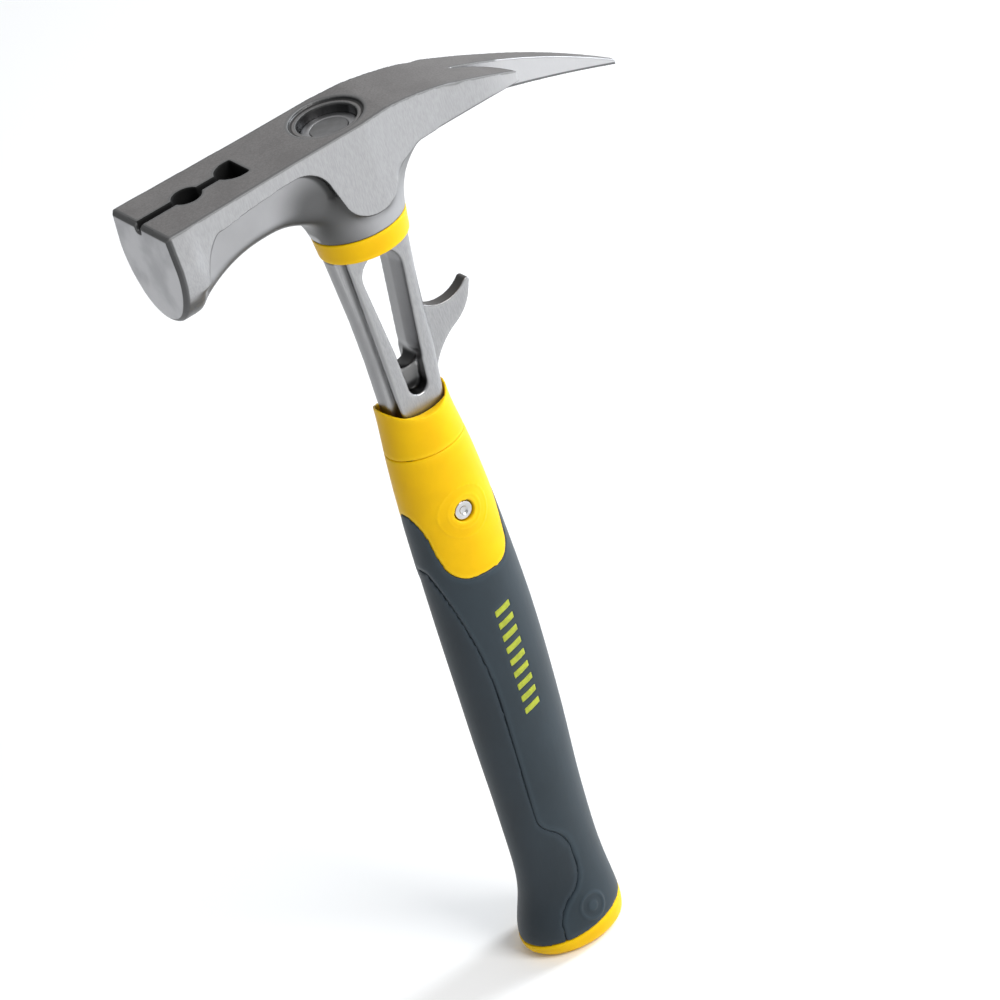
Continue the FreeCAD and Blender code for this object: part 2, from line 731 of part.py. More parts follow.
def blade_cavity():
    """Room for the blade inside the sleeve, widening upward so that it can rock."""
    half_y = SHAFT_HALF_THICKNESS + 0.5
    front, back = SHAFT_FRONT_LOW_X - SWING_GAP, SHAFT_BACK_LOW_X + SWING_GAP
    cavity = side_slab(
        -half_y, half_y,
        (front, SLEEVE_SPLIT_Z - 1.5),
        ((front, 212.0),),
        ((front - 0.8, SHAFT_MOUTH_Z),),
        ((front - 1.6, 240.0),),
        ((back + 2.4, 240.0),),
        ((back + 0.9, SHAFT_MOUTH_Z),),
        ((back, 212.0),),
        ((back, SLEEVE_SPLIT_Z - 1.5),),
    )
    return cavity.common(handle_envelope(MOUTH_WALL))


def mouth_scoop():
    return cross_cylinder(MOUTH_SCOOP_RADIUS, PIVOT_X, MOUTH_SCOOP_Z + MOUTH_SCOOP_RADIUS,
                          -BIG, BIG)


def make_core():
    bare = handle_envelope(0.0).common(tongue_region())
    inside = handle_envelope(CORE_INSET)
    core = bare.fuse(inside)
    core = core.common(above_rim(SLEEVE_SPLIT_Z))
    hollow = handle_envelope(HOLLOW_INSET).common(block(-BIG, BIG, -BIG, BIG, 0, HOLLOW_TOP_Z))
    core = core.cut([hollow, tang_cavity(), tail_pocket(), washer_seats(), blade_cavity(),
                     damper_pocket(1.0), damper_pocket(-1.0)])
    core = core.cut(pin_holes())
    return core.cut(moulded_rings())


def make_sleeve_collar():
    sleeve = handle_envelope(0.0).common(block(-BIG, BIG, -BIG, BIG, SLEEVE_SPLIT_Z, 224.0))
    sleeve = sleeve.cut(mouth_scoop())
    return sleeve.cut(blade_cavity())


def make_seal(shaft):
    half_y = SHAFT_HALF_THICKNESS + 0.5
    cavity = blade_cavity().common(block(-BIG, BIG, -half_y, half_y, *SEAL_Z))
    return cavity.cut(shaft)


def make_damper(sign, shaft):
    return damper_pocket(sign).cut(shaft)


def make_tail_damper(shaft):
    return tail_pocket().cut(shaft)


def make_pin():
    return cross_cylinder(PIN_RADIUS, PIVOT_X, PIVOT_Z, -PIN_HALF_LENGTH, PIN_HALF_LENGTH)


# ---- Grip and end cap ----

def marks():
    """Row of slanted bars along both flanks."""
    bars = []
    for index in range(MARK_COUNT):
        low = MARK_LOW_Z + index * MARK_PITCH
        bars.append(side_slab(
            -BIG, BIG,
            (MARK_FRONT_X, low),
            ((MARK_BACK_X, low + MARK_SLANT),),
            ((MARK_BACK_X, low + MARK_SLANT + MARK_HEIGHT),),
            ((MARK_FRONT_X, low + MARK_HEIGHT),),
        ))
    return skin(0.0, MARK_DEPTH).common(Part.makeCompound(bars))


def make_grip(all_marks):
    grip = handle_envelope(0.0).common(above_rim(GRIP_TOP_Z))
    grip = grip.cut(tongue_region())
    grip = grip.cut(handle_envelope(CORE_INSET))
    panel = skin(0.0, PANEL_RECESS + PANEL_THICKNESS).common(panel_region())
    grip = grip.cut(panel)
    return grip.cut(all_marks)


def make_front_panel():
    panel = skin(PANEL_RECESS, PANEL_THICKNESS).common(panel_region())
    return panel.common(above_rim(GRIP_TOP_Z))


def make_end_cap():
    z, front, back, half = HANDLE_SECTIONS[0]
    centre = (front + back) / 2
    half_x = (back - front) / 2
    foot = ellipse_wire(centre, 0.0, half_x - BUTT_BEVEL, half - BUTT_BEVEL)
    edge = ellipse_wire(centre, z, half_x, half)
    bevel = Part.makeLoft([foot, edge], True, True)
    band = handle_envelope(0.0).common(block(-BIG, BIG, -BIG, BIG, z, 20.0))
    band = band.cut(above_rim(40.0))
    hollow = handle_envelope(HOLLOW_INSET)
    spigot = hollow.common(block(-BIG, BIG, -BIG, BIG, z, CAP_SPIGOT_TOP_Z))
    return bevel.fuse([band, spigot])


def half_space(side):
    if side > 0:
        return block(-BIG, BIG, 0, BIG, -BIG, 400.0)
    return block(-BIG, BIG, -BIG, 0, -BIG, 400.0)


def main():
    os.makedirs("parts", exist_ok=True)
    shaft = make_shaft()
    all_marks = marks()
    washer_y = TANG_HALF_THICKNESS + 0.1
    save(make_head(), "head")
    save(make_magnet(), "nail_magnet")
    save(plug_cone(), "eye_plug")
    save(shaft, "shaft")
    save(make_collar(shaft), "collar")
    save(make_bush(), "pivot_bush")
    save(make_bush_sleeve(), "bush_sleeve")
    save(make_pin(), "pivot_pin")
    save(washer(-washer_y - WASHER_THICKNESS), "thrust_washer_left")
    save(washer(washer_y), "thrust_washer_right")
    save(make_damper(-1.0, shaft), "damper_front")
    save(make_damper(1.0, shaft), "damper_rear")
    save(make_tail_damper(shaft), "tail_damper")
    save(make_seal(shaft), "mouth_seal")
    save(make_sleeve_collar(), "sleeve_collar")
    save(make_core(), "handle_core")
    save(make_grip(all_marks), "grip")
    save(make_front_panel(), "grip_front_panel")
    save(all_marks.common(half_space(-1)), "marks_left")
    save(all_marks.common(half_space(1)), "marks_right")
    save(make_end_cap(), "end_cap")


main()
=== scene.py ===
import math

import bpy
import numpy as np
from mathutils import Matrix, Vector


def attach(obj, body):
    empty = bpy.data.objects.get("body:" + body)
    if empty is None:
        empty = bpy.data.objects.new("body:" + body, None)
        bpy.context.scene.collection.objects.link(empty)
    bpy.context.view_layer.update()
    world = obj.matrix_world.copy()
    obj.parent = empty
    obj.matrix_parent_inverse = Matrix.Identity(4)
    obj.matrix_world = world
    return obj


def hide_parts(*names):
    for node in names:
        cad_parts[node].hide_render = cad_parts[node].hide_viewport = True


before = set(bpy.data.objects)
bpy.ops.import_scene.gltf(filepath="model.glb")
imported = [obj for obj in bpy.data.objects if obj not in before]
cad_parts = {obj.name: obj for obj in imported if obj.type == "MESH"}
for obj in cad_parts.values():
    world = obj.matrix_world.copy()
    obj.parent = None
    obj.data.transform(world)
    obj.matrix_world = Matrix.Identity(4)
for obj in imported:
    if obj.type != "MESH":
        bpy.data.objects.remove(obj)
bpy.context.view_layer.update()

MM = 0.001

# ---- Viewpoint ----
VIEW_AZIMUTH = math.radians(-26.91)
VIEW_ELEVATION = math.radians(31.47)
VIEW_ROLL = math.radians(-17.16)
VIEW_DISTANCE = 1.8
VIEW_TARGET = Vector((0.0, 0.0, 0.165))
VIEW_SHIFT = Vector((-14.36 * MM, -10.48 * MM))
SENSOR = 36.0
LENS = 197.67

# ---- Mesh resolution, metres ----
STEEL_VOXEL = 0.36 * MM
PLASTIC_VOXEL = 0.42 * MM
GRIP_VOXEL = 0.50 * MM
FINE_VOXEL = 0.16 * MM

# ---- Places on the part, millimetres ----
PIN_CENTRE_X = -1.0
PIN_CENTRE_Z = 179.0
NECK_LOW = 287.0
BUTT_RING_X = -0.3
BUTT_RING_Z = 14.6
BUTT_RING_RADIUS = 4.6

# ---- Limits of the shaded places, metres: where each mask starts and where it is full ----
CHEEK_SIDE = (0.0146, 0.0149)
CLAW_FRONT = (0.010, 0.014)
ABOVE_COLLAR = (0.2885, 0.2895)
CLAW_ONLY = (0.04, 0.05)
SPIKE_ONLY = (0.045, 0.070)
LOW_EDGE = (0.0011, 0.0008)
LOW_EDGE_START = (-0.0015, 0.0)
PRONG_END = (0.0650, 0.0635)
CHAMFER_FRONT = (-0.0706, -0.0712)
CROOK_X = -0.0185
CROOK_Z = 0.305
CROOK_REACH = (0.0185, 0.004)
HOLDER_FRONT = (-0.0718, -0.0714)
HOLDER_BACK = (-0.0322, -0.0326)
HOLDER_SIDE = (0.0078, 0.0074)
HOLDER_TOP = (0.3249, 0.3244)
HOLDER_FLOOR = (0.3165, 0.3175)
EYE_FRONT = (-0.0135, -0.0130)
EYE_BACK = (0.0135, 0.0130)
EYE_SIDE = (0.0130, 0.0127)
EYE_TOP = (0.3249, 0.3246)
EYE_FLOOR = (0.316, 0.317)
EYE_DEEPER = (0.010, -0.002)
WINDOW_FRONT = (-0.0062, -0.0056)
WINDOW_BACK = (0.0052, 0.0046)
WINDOW_END_TOP = (0.2272, 0.2252)
WINDOW_END_FLOOR = (0.2222, 0.2230)
WINDOW_END_FRONT = (-0.0060, -0.0054)
WINDOW_END_BACK = (0.0045, 0.0038)
WINDOW_END_SIDE = (0.0070, 0.0062)
RECESS_SIDE = (0.0070, 0.0066)
RECESS_TOP = (0.2400, 0.2370)
RECESS_FLOOR = (0.2235, 0.2275)
HOLE_END_TOP = (0.2358, 0.2340)
HOLE_END_SIDE = (0.0042, 0.0036)
HOOK_START = (0.0098, 0.0112)
HOOK_ABOVE = (0.280, 0.278)

# ---- The head's darker top, between these two colours ----
TOP_STEEL_DARK = (0.205, 0.198, 0.196, 1.0)
TOP_STEEL_LIGHT = (0.265, 0.256, 0.254, 1.0)

# ---- Relief, millimetres below (positive) or above the surroundings, which place painted highlights and shade ----
EDGE_DIP = (-0.03, -0.16)
HOLLOW_SHADE_DIP = (0.03, 0.16)
CREASE_SHADE_DIP = (0.05, 0.14)

# ---- Lower edge of the long spike, metres: a slightly bent line from its start, along which a band of shade is painted ----
SPIKE_START = 0.066
SPIKE_BOTTOM = 0.2996
SPIKE_SLOPE = -0.272
SPIKE_CURVE = -1.11


# ---- Mesh tools ----

def smooth_step(low, high, value):
    """0 below low, 1 above high, with a soft change between them."""
    t = np.clip((value - low) / (high - low), 0.0, 1.0)
    return t * t * (3.0 - 2.0 * t)


def read_points(mesh):
    flat = np.empty(len(mesh.vertices) * 3, np.float32)
    mesh.vertices.foreach_get("co", flat)
    return flat.reshape(-1, 3).astype(float) / MM


def write_points(mesh, points):
    mesh.vertices.foreach_set("co", (points * MM).astype(np.float32).ravel())
    mesh.update()


def read_normals(mesh):
    flat = np.empty(len(mesh.vertices) * 3, np.float32)
    mesh.vertex_normals.foreach_get("vector", flat)
    return flat.reshape(-1, 3).astype(float)


def read_edges(mesh):
    flat = np.empty(len(mesh.edges) * 2, np.int32)
    mesh.edges.foreach_get("vertices", flat)
    return flat.reshape(-1, 2)


def dense_copy(node, name, voxel):
    """A new closed mesh of even small faces with the shape of a CAD node."""
    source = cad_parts[node]
    rough = bpy.data.objects.new(name + "_rough", source.data.copy())
    bpy.context.collection.objects.link(rough)
    remesh = rough.modifiers.new("even", "REMESH")
    remesh.mode = "VOXEL"
    remesh.voxel_size = voxel
    remesh.adaptivity = 0.0
    graph = bpy.context.evaluated_depsgraph_get()
    mesh = bpy.data.meshes.new_from_object(rough.evaluated_get(graph))
    bpy.data.objects.remove(rough, do_unlink=True)
    mesh.materials.clear()
    mesh.name = name
    piece = bpy.data.objects.new(name, mesh)
    bpy.context.collection.objects.link(piece)
    mesh.shade_smooth()
    return piece


def relax(piece, steps, weight=None):
    """Moves each point towards the mean of its neighbours, steps times, by its weight."""
    mesh = piece.data
    every = read_points(mesh)
    edges = read_edges(mesh)
    share = 0.5 * (np.ones(len(every)) if weight is None else weight(every))
    edges = edges[(share[edges[:, 0]] > 0.0) | (share[edges[:, 1]] > 0.0)]
    used, local = np.unique(edges, return_inverse=True)
    local = local.reshape(-1, 2)
    first, second = local[:, 0], local[:, 1]
    count = len(used)
    degree = np.bincount(local.ravel(), minlength=count)
    points = every[used]
    pull = share[used]
    for _ in range(steps):
        total = np.stack([
            np.bincount(first, points[second, k], count)
            + np.bincount(second, points[first, k], count)
            for k in range(3)
        ], 1)
        points += pull[:, None] * (total / degree[:, None] - points)
    every[used] = points
    write_points(mesh, every)


def emboss(piece, height):
    """Moves each point along its normal by height(points, normals), in millimetres."""
    points = read_points(piece.data)
    normals = read_normals(piece.data)
    points += height(points, normals)[:, None] * normals
    write_points(piece.data, points)


def mark_dips(piece, steps=30):
    """Stores how far each point lies below (positive) or above its surroundings, in mm."""
    mesh = piece.data
    points = read_points(mesh)
    normals = read_normals(mesh)
    relax(piece, steps)
    dip = np.sum((read_points(mesh) - points) * normals, axis=1)
    write_points(mesh, points)
    layer = mesh.attributes.new("dip", "FLOAT", "POINT")
    layer.data.foreach_set("value", dip.astype(np.float32))


def finish_piece(piece, body, material, slot, *nodes):
    """Gives a piece its relief marks and material and puts it in place of its nodes."""
    mark_dips(piece)
    piece.data.materials.append(material)
    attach(piece, body)
    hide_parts(*nodes)
    return piece


# ---- Shader tools ----

class Recipe:
    """One procedural material, with short calls for adding and wiring its nodes."""

    def __init__(self, name):
        self.material = bpy.data.materials.new(name)
        self.material.use_nodes = True
        self.tree = self.material.node_tree
        self.tree.nodes.clear()
        self.shader = self.tree.nodes.new("ShaderNodeBsdfPrincipled")
        output = self.tree.nodes.new("ShaderNodeOutputMaterial")
        self.wire(self.shader.outputs[0], output.inputs["Surface"])
        place = self.tree.nodes.new("ShaderNodeTexCoord")
        self.place = place.outputs["Object"]
        shape = self.tree.nodes.new("ShaderNodeNewGeometry")
        self.normal = shape.outputs["Normal"]
        relief = self.tree.nodes.new("ShaderNodeAttribute")
        relief.attribute_name = "dip"
        self.dip = relief.outputs["Fac"]

    def wire(self, source, target):
        if isinstance(source, bpy.types.NodeSocket):
            self.tree.links.new(source, target)
        else:
            target.default_value = source

    def set(self, **values):
        """Sets or wires inputs of the surface shader; underscores stand for spaces."""
        for key, value in values.items():
            self.wire(value, self.shader.inputs[key.replace("_", " ")])

    def stretch(self, x, y, z):
        """The part's own coordinates, multiplied along each axis, in waves per metre."""
        node = self.tree.nodes.new("ShaderNodeMapping")
        node.inputs["Scale"].default_value = (x, y, z)
        self.wire(self.place, node.inputs["Vector"])
        return node.outputs[0]

    def noise(self, vector, scale=1.0, detail=3.0, roughness=0.55):
        node = self.tree.nodes.new("ShaderNodeTexNoise")
        self.wire(vector, node.inputs["Vector"])
        node.inputs["Scale"].default_value = scale
        node.inputs["Detail"].default_value = detail
        node.inputs["Roughness"].default_value = roughness
        return node.outputs["Fac"]

    def span(self, value, low, high, to_low=0.0, to_high=1.0):
        """Maps low..high onto to_low..to_high with soft ends."""
        node = self.tree.nodes.new("ShaderNodeMapRange")
        node.interpolation_type = "SMOOTHSTEP"
        self.wire(value, node.inputs["Value"])
        node.inputs["From Min"].default_value = low
        node.inputs["From Max"].default_value = high
        node.inputs["To Min"].default_value = to_low
        node.inputs["To Max"].default_value = to_high
        return node.outputs[0]

    def sum(self, a, b):
        return self.math("ADD", a, b)

    def times(self, a, b):
        return self.math("MULTIPLY", a, b)

    def math(self, operation, a, b=0.0):
        node = self.tree.nodes.new("ShaderNodeMath")
        node.operation = operation
        self.wire(a, node.inputs[0])
        self.wire(b, node.inputs[1])
        return node.outputs[0]

    def part(self, vector, axis):
        node = self.tree.nodes.new("ShaderNodeSeparateXYZ")
        self.wire(vector, node.inputs[0])
        return node.outputs[axis]

    def blend(self, factor, a, b):
        """Colour a where factor is 0 and colour b where it is 1."""
        node = self.tree.nodes.new("ShaderNodeMix")
        node.data_type = "RGBA"
        self.wire(factor, node.inputs[0])
        self.wire(a, node.inputs[6])
        self.wire(b, node.inputs[7])
        return node.outputs[2]

    def bump(self, height, distance, strength):
        node = self.tree.nodes.new("ShaderNodeBump")
        node.inputs["Strength"].default_value = strength
        node.inputs["Distance"].default_value = distance
        self.wire(height, node.inputs["Height"])
        return node.outputs[0]


def grey(level, blue=1.0):
    return (level, level, level * blue, 1.0)


# ---- Materials ----

def forged_tones_and_shade(r, flank, flank_low, flank_high, grain, front_shade_amount):
    """Ground flanks over darker forged surfaces, with shade painted on those that face the front
    and those that face down.
    """
    up = r.part(r.normal, 2)
    back = r.part(r.normal, 0)
    cloud = r.noise(r.stretch(90.0, 90.0, 70.0), 1.0, 3.0, 0.5)
    scale = r.blend(cloud, grey(0.30, 1.02), grey(0.38, 1.03))
    # Painted shade: forged surfaces grow darker the more they face the front.
    scale = r.blend(r.span(back, 0.15, -0.75, 0.0, front_shade_amount), scale, grey(0.075, 0.98))
    # Painted shade: forged surfaces grow darker the more they face down.
    scale = r.blend(r.span(up, -0.05, -0.60, 0.0, 0.88), scale, grey(0.055, 0.98))
    ground = r.blend(r.span(grain, 0.30, 0.70), grey(flank_low, 1.02), grey(flank_high, 1.02))
    return r.blend(flank, scale, ground)


def head_steel():
    """Forged head: ground flanks with upright grain, darker top, smooth web darkened by painted
    shade.
    """
    r = Recipe("forged_head_steel")
    up = r.part(r.normal, 2)
    side = r.math("ABSOLUTE", r.part(r.normal, 1))
    front = r.math("MULTIPLY", r.part(r.normal, 0), -1.0)
    along = r.part(r.place, 0)
    across = r.math("ABSOLUTE", r.part(r.place, 1))
    height = r.part(r.place, 2)
    grain = r.noise(r.stretch(2900.0, 2900.0, 420.0), 1.0, 3.0, 0.6)
    cloud = r.noise(r.stretch(70.0, 70.0, 70.0), 1.0, 3.0, 0.5)
    speck = r.noise(r.stretch(1900.0, 1900.0, 1900.0), 1.0, 2.0, 0.6)
    outside = r.math("MAXIMUM", r.span(across, *CHEEK_SIDE), r.span(along, *CLAW_FRONT))
    flank = r.times(r.span(side, 0.86, 0.95), outside)
    above_collar = r.math("MAXIMUM", r.span(height, *ABOVE_COLLAR), r.span(along, *CLAW_ONLY))
    flank = r.times(flank, above_collar)
    top = r.times(r.span(up, 0.74, 0.90), above_collar)
    face = r.span(front, 0.95, 0.99)
    chamfer = r.times(r.span(along, *CHAMFER_FRONT), r.span(front, 0.985, 0.95))
    edge = r.span(r.dip, *EDGE_DIP)
    hollow_shade = r.span(r.dip, *CREASE_SHADE_DIP)

    colour = forged_tones_and_shade(r, flank, 0.315, 0.375, grain, 0.85)
    crook = r.math("SQRT", r.sum(
        r.math("POWER", r.math("SUBTRACT", along, CROOK_X), 2.0),
        r.math("POWER", r.math("SUBTRACT", height, CROOK_Z), 2.0)))
    crook_shade = r.times(r.span(crook, *CROOK_REACH), r.math("SUBTRACT", 1.0, flank))
    colour = r.blend(r.times(crook_shade, 0.8), colour, grey(0.04, 0.98))
    bright_end = r.times(flank, r.span(along, *SPIKE_ONLY, 0.0, 0.7))
    colour = r.blend(bright_end, colour, grey(0.52, 1.02))
    # Painted shade: a dark band along the long spike's lower edge.
    past = r.math("SUBTRACT", along, SPIKE_START)
    bend = r.times(r.times(past, past), SPIKE_CURVE)
    bottom = r.sum(SPIKE_BOTTOM, r.sum(r.times(past, SPIKE_SLOPE), bend))
    above_bottom = r.math("SUBTRACT", height, bottom)
    low_edge_shade = r.times(r.span(above_bottom, *LOW_EDGE), r.span(past, *LOW_EDGE_START))
    colour = r.blend(r.times(low_edge_shade, 0.8), colour, grey(0.06))
    top_tone = r.sum(r.times(speck, 0.6), r.times(cloud, 0.4))
    top_colour = r.blend(r.span(top_tone, 0.36, 0.64), TOP_STEEL_DARK, TOP_STEEL_LIGHT)
    face_colour = r.blend(r.span(cloud, 0.35, 0.65), grey(0.33, 1.04), grey(0.45, 1.03))
    colour = r.blend(top, colour, top_colour)
    colour = r.blend(face, colour, face_colour)
    colour = r.blend(r.times(chamfer, 0.9), colour, grey(0.085, 1.02))
    # Painted shade in the head's concave places and creases.
    colour = r.blend(r.times(hollow_shade, 0.82), colour, grey(0.03))
    # Painted shade: up-facing edges short of the prong ends are coloured darker, to damp their
    # glint, and made rougher.
    dull_shaded_edge = r.times(r.times(edge, r.span(up, 0.05, 0.30)), r.span(along, *PRONG_END))
    colour = r.blend(r.times(dull_shaded_edge, 0.8), colour, grey(0.20))

    # Painted shade: the inside and rim of the nail holder's slot are coloured near black, made
    # rougher and less metallic.
    ahead = r.times(r.span(along, *HOLDER_BACK), r.span(along, *HOLDER_FRONT))
    middle = r.span(across, *HOLDER_SIDE)
    sunk_shade = r.times(r.times(r.span(height, *HOLDER_TOP), r.span(height, *HOLDER_FLOOR)), middle)
    sunk_shade = r.times(sunk_shade, ahead)
    rim = r.times(r.times(r.span(up, 0.985, 0.90), r.span(height, *HOLDER_FLOOR)), middle)
    sunk_shade = r.math("MAXIMUM", sunk_shade, r.times(rim, ahead))
    colour = r.blend(sunk_shade, colour, grey(0.006))
    eye_room = r.times(r.span(height, *EYE_TOP), r.span(along, *EYE_FRONT))
    eye_room = r.times(eye_room, r.times(r.span(along, *EYE_BACK), r.span(up, 0.8, 0.5)))
    eye_room = r.times(eye_room, r.times(r.span(across, *EYE_SIDE), r.span(height, *EYE_FLOOR)))
    eye_shade = r.times(eye_room, r.span(along, *EYE_DEEPER, 0.35, 0.95))
    colour = r.blend(eye_shade, colour, grey(0.03))

    rough = r.sum(r.times(grain, 0.14), 0.30)
    rough = r.sum(rough, r.times(top, 0.16))
    rough = r.sum(rough, r.math("MAXIMUM", r.times(sunk_shade, 0.4), r.times(dull_shaded_edge, 0.35)))
    relief = r.sum(r.times(r.times(grain, flank), 0.6), r.times(r.times(speck, top), 0.5))
    relief = r.sum(relief, r.times(cloud, 0.35))
    metal = r.math("SUBTRACT", 1.0, r.times(sunk_shade, 0.9))
    r.set(Base_Color=colour, Metallic=metal, Roughness=rough, Specular_IOR_Level=0.15)
    r.set(Normal=r.bump(relief, 0.00004, 0.6))
    return r.material


def shaft_steel():
    """Forged shaft: satin flanks with fine lengthwise grain, painted shade in concave places, at
    the window's end and in its hole, painted highlights on edges and painted light in the pocket
    below the window.
    """
    r = Recipe("forged_shaft_steel")
    up = r.part(r.normal, 2)
    side = r.math("ABSOLUTE", r.part(r.normal, 1))
    height = r.part(r.place, 2)
    along = r.part(r.place, 0)
    across = r.math("ABSOLUTE", r.part(r.place, 1))
    grain = r.noise(r.stretch(2600.0, 2600.0, 380.0), 1.0, 3.0, 0.6)
    cloud = r.noise(r.stretch(90.0, 90.0, 60.0), 1.0, 3.0, 0.5)
    flank = r.span(side, 0.80, 0.95)
    edge = r.span(r.dip, *EDGE_DIP)
    hollow_shade = r.span(r.dip, *HOLLOW_SHADE_DIP)
    colour = forged_tones_and_shade(r, flank, 0.285, 0.345, grain, 0.30)
    # Painted shade in the shaft's concave places, weaker where they face sideways.
    deep_shade = r.times(hollow_shade, r.span(side, 0.55, 0.92, 0.60, 0.15))
    colour = r.blend(deep_shade, colour, grey(0.045))
    # Painted highlight on the shaft's edges.
    colour = r.blend(r.times(edge, 0.15), colour, grey(0.50))
    in_window = r.times(r.span(along, *WINDOW_FRONT), r.span(along, *WINDOW_BACK))
    # Painted light: the floor of the pocket below the window is coloured pale and made less
    # metallic, to lift it out of its shadow.
    recess_light = r.times(r.span(across, *RECESS_SIDE), r.span(height, *RECESS_TOP))
    recess_light = r.times(recess_light, r.times(r.span(side, 0.80, 0.92), r.span(height, *RECESS_FLOOR)))
    recess_light = r.times(recess_light, in_window)
    colour = r.blend(recess_light, colour, grey(0.85))
    hook_top = r.times(r.span(up, 0.35, 0.70), r.span(along, *HOOK_START))
    hook_top = r.times(hook_top, r.span(height, *HOOK_ABOVE))
    colour = r.blend(r.times(hook_top, 0.85), colour, (0.085, 0.078, 0.074, 1.0))
    # Painted shade: the lower end of the window is coloured near black.
    end_room_shade = r.times(r.span(height, *WINDOW_END_TOP), r.span(height, *WINDOW_END_FLOOR))
    end_edge = r.times(r.span(along, *WINDOW_END_BACK), r.span(across, *WINDOW_END_SIDE))
    end_room_shade = r.times(end_room_shade, end_edge)
    end_room_shade = r.times(end_room_shade, r.span(along, *WINDOW_END_FRONT))
    colour = r.blend(r.times(end_room_shade, 0.9), colour, grey(0.015))
    # Painted shade: the lower end of the hole in the window is coloured near black.
    hole_end_shade = r.times(r.span(height, *HOLE_END_TOP), r.span(across, *HOLE_END_SIDE))
    hole_end_shade = r.times(hole_end_shade, in_window)
    colour = r.blend(r.times(hole_end_shade, 0.85), colour, grey(0.02))
    relief = r.sum(r.times(grain, 0.6), r.times(cloud, 0.5))
    metal = r.math("SUBTRACT", 1.0, r.times(recess_light, 0.8))
    r.set(Base_Color=colour, Metallic=metal, Roughness=r.sum(r.times(grain, 0.14), 0.29))
    r.set(Normal=r.bump(relief, 0.00004, 0.6))
    return r.material


def turned_steel(name, level, base_rough):
    """Turned or plated steel with fine rings, slight clouding and painted highlights on its edges.
    """
    r = Recipe(name)
    ring = r.noise(r.stretch(3200.0, 900.0, 3200.0), 1.0, 2.0, 0.5)
    cloud = r.noise(r.stretch(300.0, 300.0, 300.0), 1.0, 3.0, 0.5)
    edge = r.span(r.dip, *EDGE_DIP)
    colour = r.blend(r.span(cloud, 0.3, 0.7), grey(level * 0.85), grey(level, 1.02))
    # Painted highlight: edges are coloured paler.
    colour = r.blend(r.times(edge, 0.4), colour, grey(min(level * 1.3, 0.9)))
    r.set(Base_Color=colour, Metallic=1.0, Roughness=r.sum(r.times(ring, 0.15), base_rough))
    r.set(Normal=r.bump(ring, 0.00002, 0.5))
    return r.material


def yellow_nylon():
    """Moulded yellow plastic: satin gloss, faint mottling, edges paler from wear and painted
    highlight, painted shade in concave places.
    """
    r = Recipe("moulded_yellow_nylon")
    mottle = r.noise(r.stretch(120.0, 120.0, 120.0), 1.0, 3.0, 0.5)
    orange_peel = r.noise(r.stretch(1500.0, 1500.0, 1500.0), 1.0, 2.0, 0.5)
    edge = r.span(r.dip, *EDGE_DIP)
    hollow_shade = r.span(r.dip, *HOLLOW_SHADE_DIP)
    colour = r.blend(r.span(mottle, 0.3, 0.7), (0.73, 0.425, 0.0, 1.0), (0.77, 0.455, 0.0, 1.0))
    # Edges paler: partly wear, partly painted highlight.
    colour = r.blend(r.times(edge, 0.35), colour, (0.84, 0.54, 0.01, 1.0))
    # Painted shade in concave places.
    colour = r.blend(r.times(hollow_shade, 0.6), colour, (0.38, 0.16, 0.0, 1.0))
    r.set(Base_Color=colour, Roughness=r.sum(r.times(mottle, 0.12), 0.34))
    r.set(Specular_IOR_Level=0.12, Subsurface_Weight=0.08, Subsurface_Scale=0.004)
    r.set(Subsurface_Radius=(1.0, 0.55, 0.1))
    r.set(Normal=r.bump(orange_peel, 0.00002, 0.35))
    return r.material


def soft_grip(name, dark, pale):
    """Soft-touch overmould: matt, finely grained, a little paler at the edges from wear and
    painted highlight, with painted shade in concave places.
    """
    r = Recipe(name)
    grain = r.noise(r.stretch(2800.0, 2800.0, 2800.0), 1.0, 2.0, 0.6)
    cloud = r.noise(r.stretch(60.0, 60.0, 40.0), 1.0, 3.0, 0.5)
    edge = r.span(r.dip, *EDGE_DIP)
    hollow_shade = r.span(r.dip, *HOLLOW_SHADE_DIP)
    colour = r.blend(r.span(cloud, 0.3, 0.7), dark, pale)
    # Edges paler: partly wear, partly painted highlight.
    colour = r.blend(r.times(edge, 0.35), colour, tuple(1.6 * c for c in pale[:3]) + (1.0,))
    # Painted shade in concave places.
    colour = r.blend(r.times(hollow_shade, 0.6), colour, (0.008, 0.010, 0.012, 1.0))
    r.set(Base_Color=colour, Roughness=r.sum(r.times(cloud, 0.12), 0.44))
    r.set(Specular_IOR_Level=0.27, Sheen_Weight=0.06, Sheen_Roughness=0.5)
    r.set(Normal=r.bump(grain, 0.00003, 0.5))
    return r.material


def plain_rubber():
    """Black moulded rubber with fine grain."""
    r = Recipe("black_rubber")
    grain = r.noise(r.stretch(2500.0, 2500.0, 2500.0), 1.0, 2.0, 0.6)
    cloud = r.noise(r.stretch(150.0, 150.0, 150.0), 1.0, 3.0, 0.5)
    colour = r.blend(cloud, grey(0.012), grey(0.028))
    r.set(Base_Color=colour, Roughness=r.sum(r.times(cloud, 0.2), 0.5))
    r.set(Normal=r.bump(grain, 0.00003, 0.5))
    return r.material


def white_nylon():
    """Turned white nylon washers with faint tool marks."""
    r = Recipe("white_nylon_turned")
    ring = r.noise(r.stretch(2400.0, 600.0, 2400.0), 1.0, 2.0, 0.5)
    cloud = r.noise(r.stretch(200.0, 200.0, 200.0), 1.0, 3.0, 0.5)
    colour = r.blend(cloud, (0.74, 0.72, 0.66, 1.0), (0.84, 0.83, 0.78, 1.0))
    r.set(Base_Color=colour, Roughness=r.sum(r.times(ring, 0.2), 0.4))
    r.set(Normal=r.bump(ring, 0.00002, 0.5))
    return r.material


